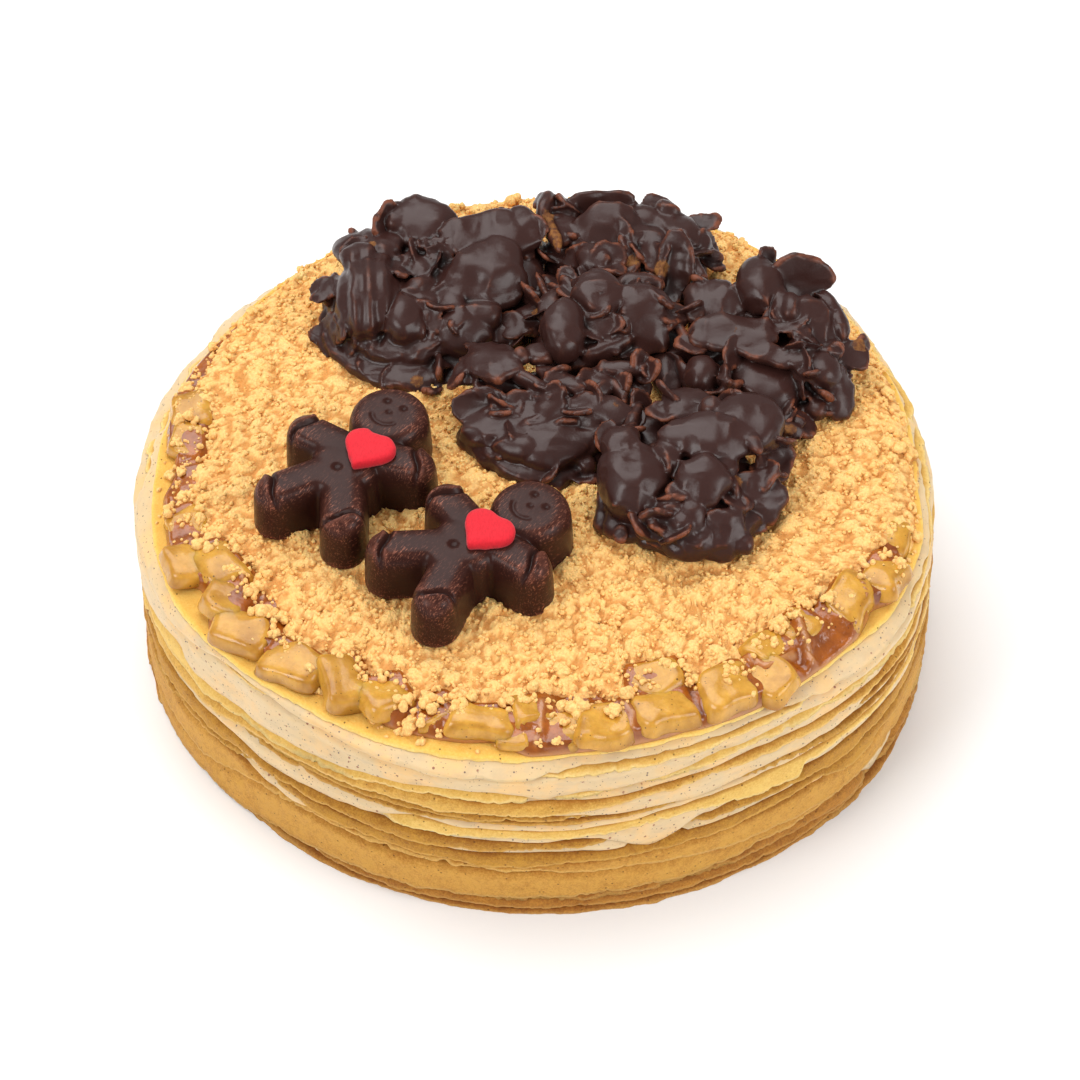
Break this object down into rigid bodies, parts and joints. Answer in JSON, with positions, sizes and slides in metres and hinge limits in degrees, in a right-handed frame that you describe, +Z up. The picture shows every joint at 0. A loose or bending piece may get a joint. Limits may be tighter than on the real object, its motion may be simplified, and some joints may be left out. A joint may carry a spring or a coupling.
{
  "type": "crepe cake",
  "caption": "Round cake of stacked crepes and spice cream, topped with apple compote, crumble, chocolate gingerbread figures with sugar hearts and chocolate flake clusters.",
  "frame": {"origin": "middle of the underside, where the cake stands on its plate", "axes": "+Z up, +X to the right and -Y towards the side from which the hanging crepe edges and both gingerbread figures are seen"},
  "size_m": [0.1792, 0.18, 0.0731],
  "materials": {
    "crepe_golden": "matt, porous baked batter",
    "crepe_brown": "matt, well browned batter",
    "cream": "smooth satin cream with spice specks",
    "apple": "glossy cooked apple in amber glaze",
    "crumble": "dry, sandy baked crumbs",
    "chocolate": "satin moulded chocolate with a copper lustre",
    "flake_chocolate": "satin chocolate over flakes",
    "sugar_heart": "matt red sugar"
  },
  "bodies": {
    "root": {"crepe_01": "crepe_brown", "crepe_02": "crepe_brown", "crepe_03": "crepe_brown", "crepe_04": "crepe_brown", "crepe_05": "crepe_brown", "crepe_06": "crepe_brown", "crepe_07": "crepe_golden", "crepe_08": "crepe_golden", "crepe_09": "crepe_golden", "crepe_10": "crepe_golden", "crepe_11": "crepe_golden", "crepe_12": "crepe_golden", "crepe_13": "crepe_golden", "crepe_14": "crepe_golden", "cream_01": "cream", "cream_02": "cream", "cream_03": "cream", "cream_04": "cream", "cream_05": "cream", "cream_06": "cream", "cream_07": "cream", "cream_08": "cream", "cream_09": "cream", "cream_10": "cream", "cream_11": "cream", "cream_12": "cream", "cream_13": "cream", "apple_compote": "apple", "crumble": "crumble", "gingerbread_left": "chocolate", "gingerbread_right": "chocolate", "heart_left": "sugar_heart", "heart_right": "sugar_heart", "cluster_back_left": "flake_chocolate", "cluster_back": "flake_chocolate", "cluster_middle": "flake_chocolate", "cluster_centre": "flake_chocolate", "cluster_right": "flake_chocolate", "cluster_front": "flake_chocolate"}
  },
  "joints": []
}
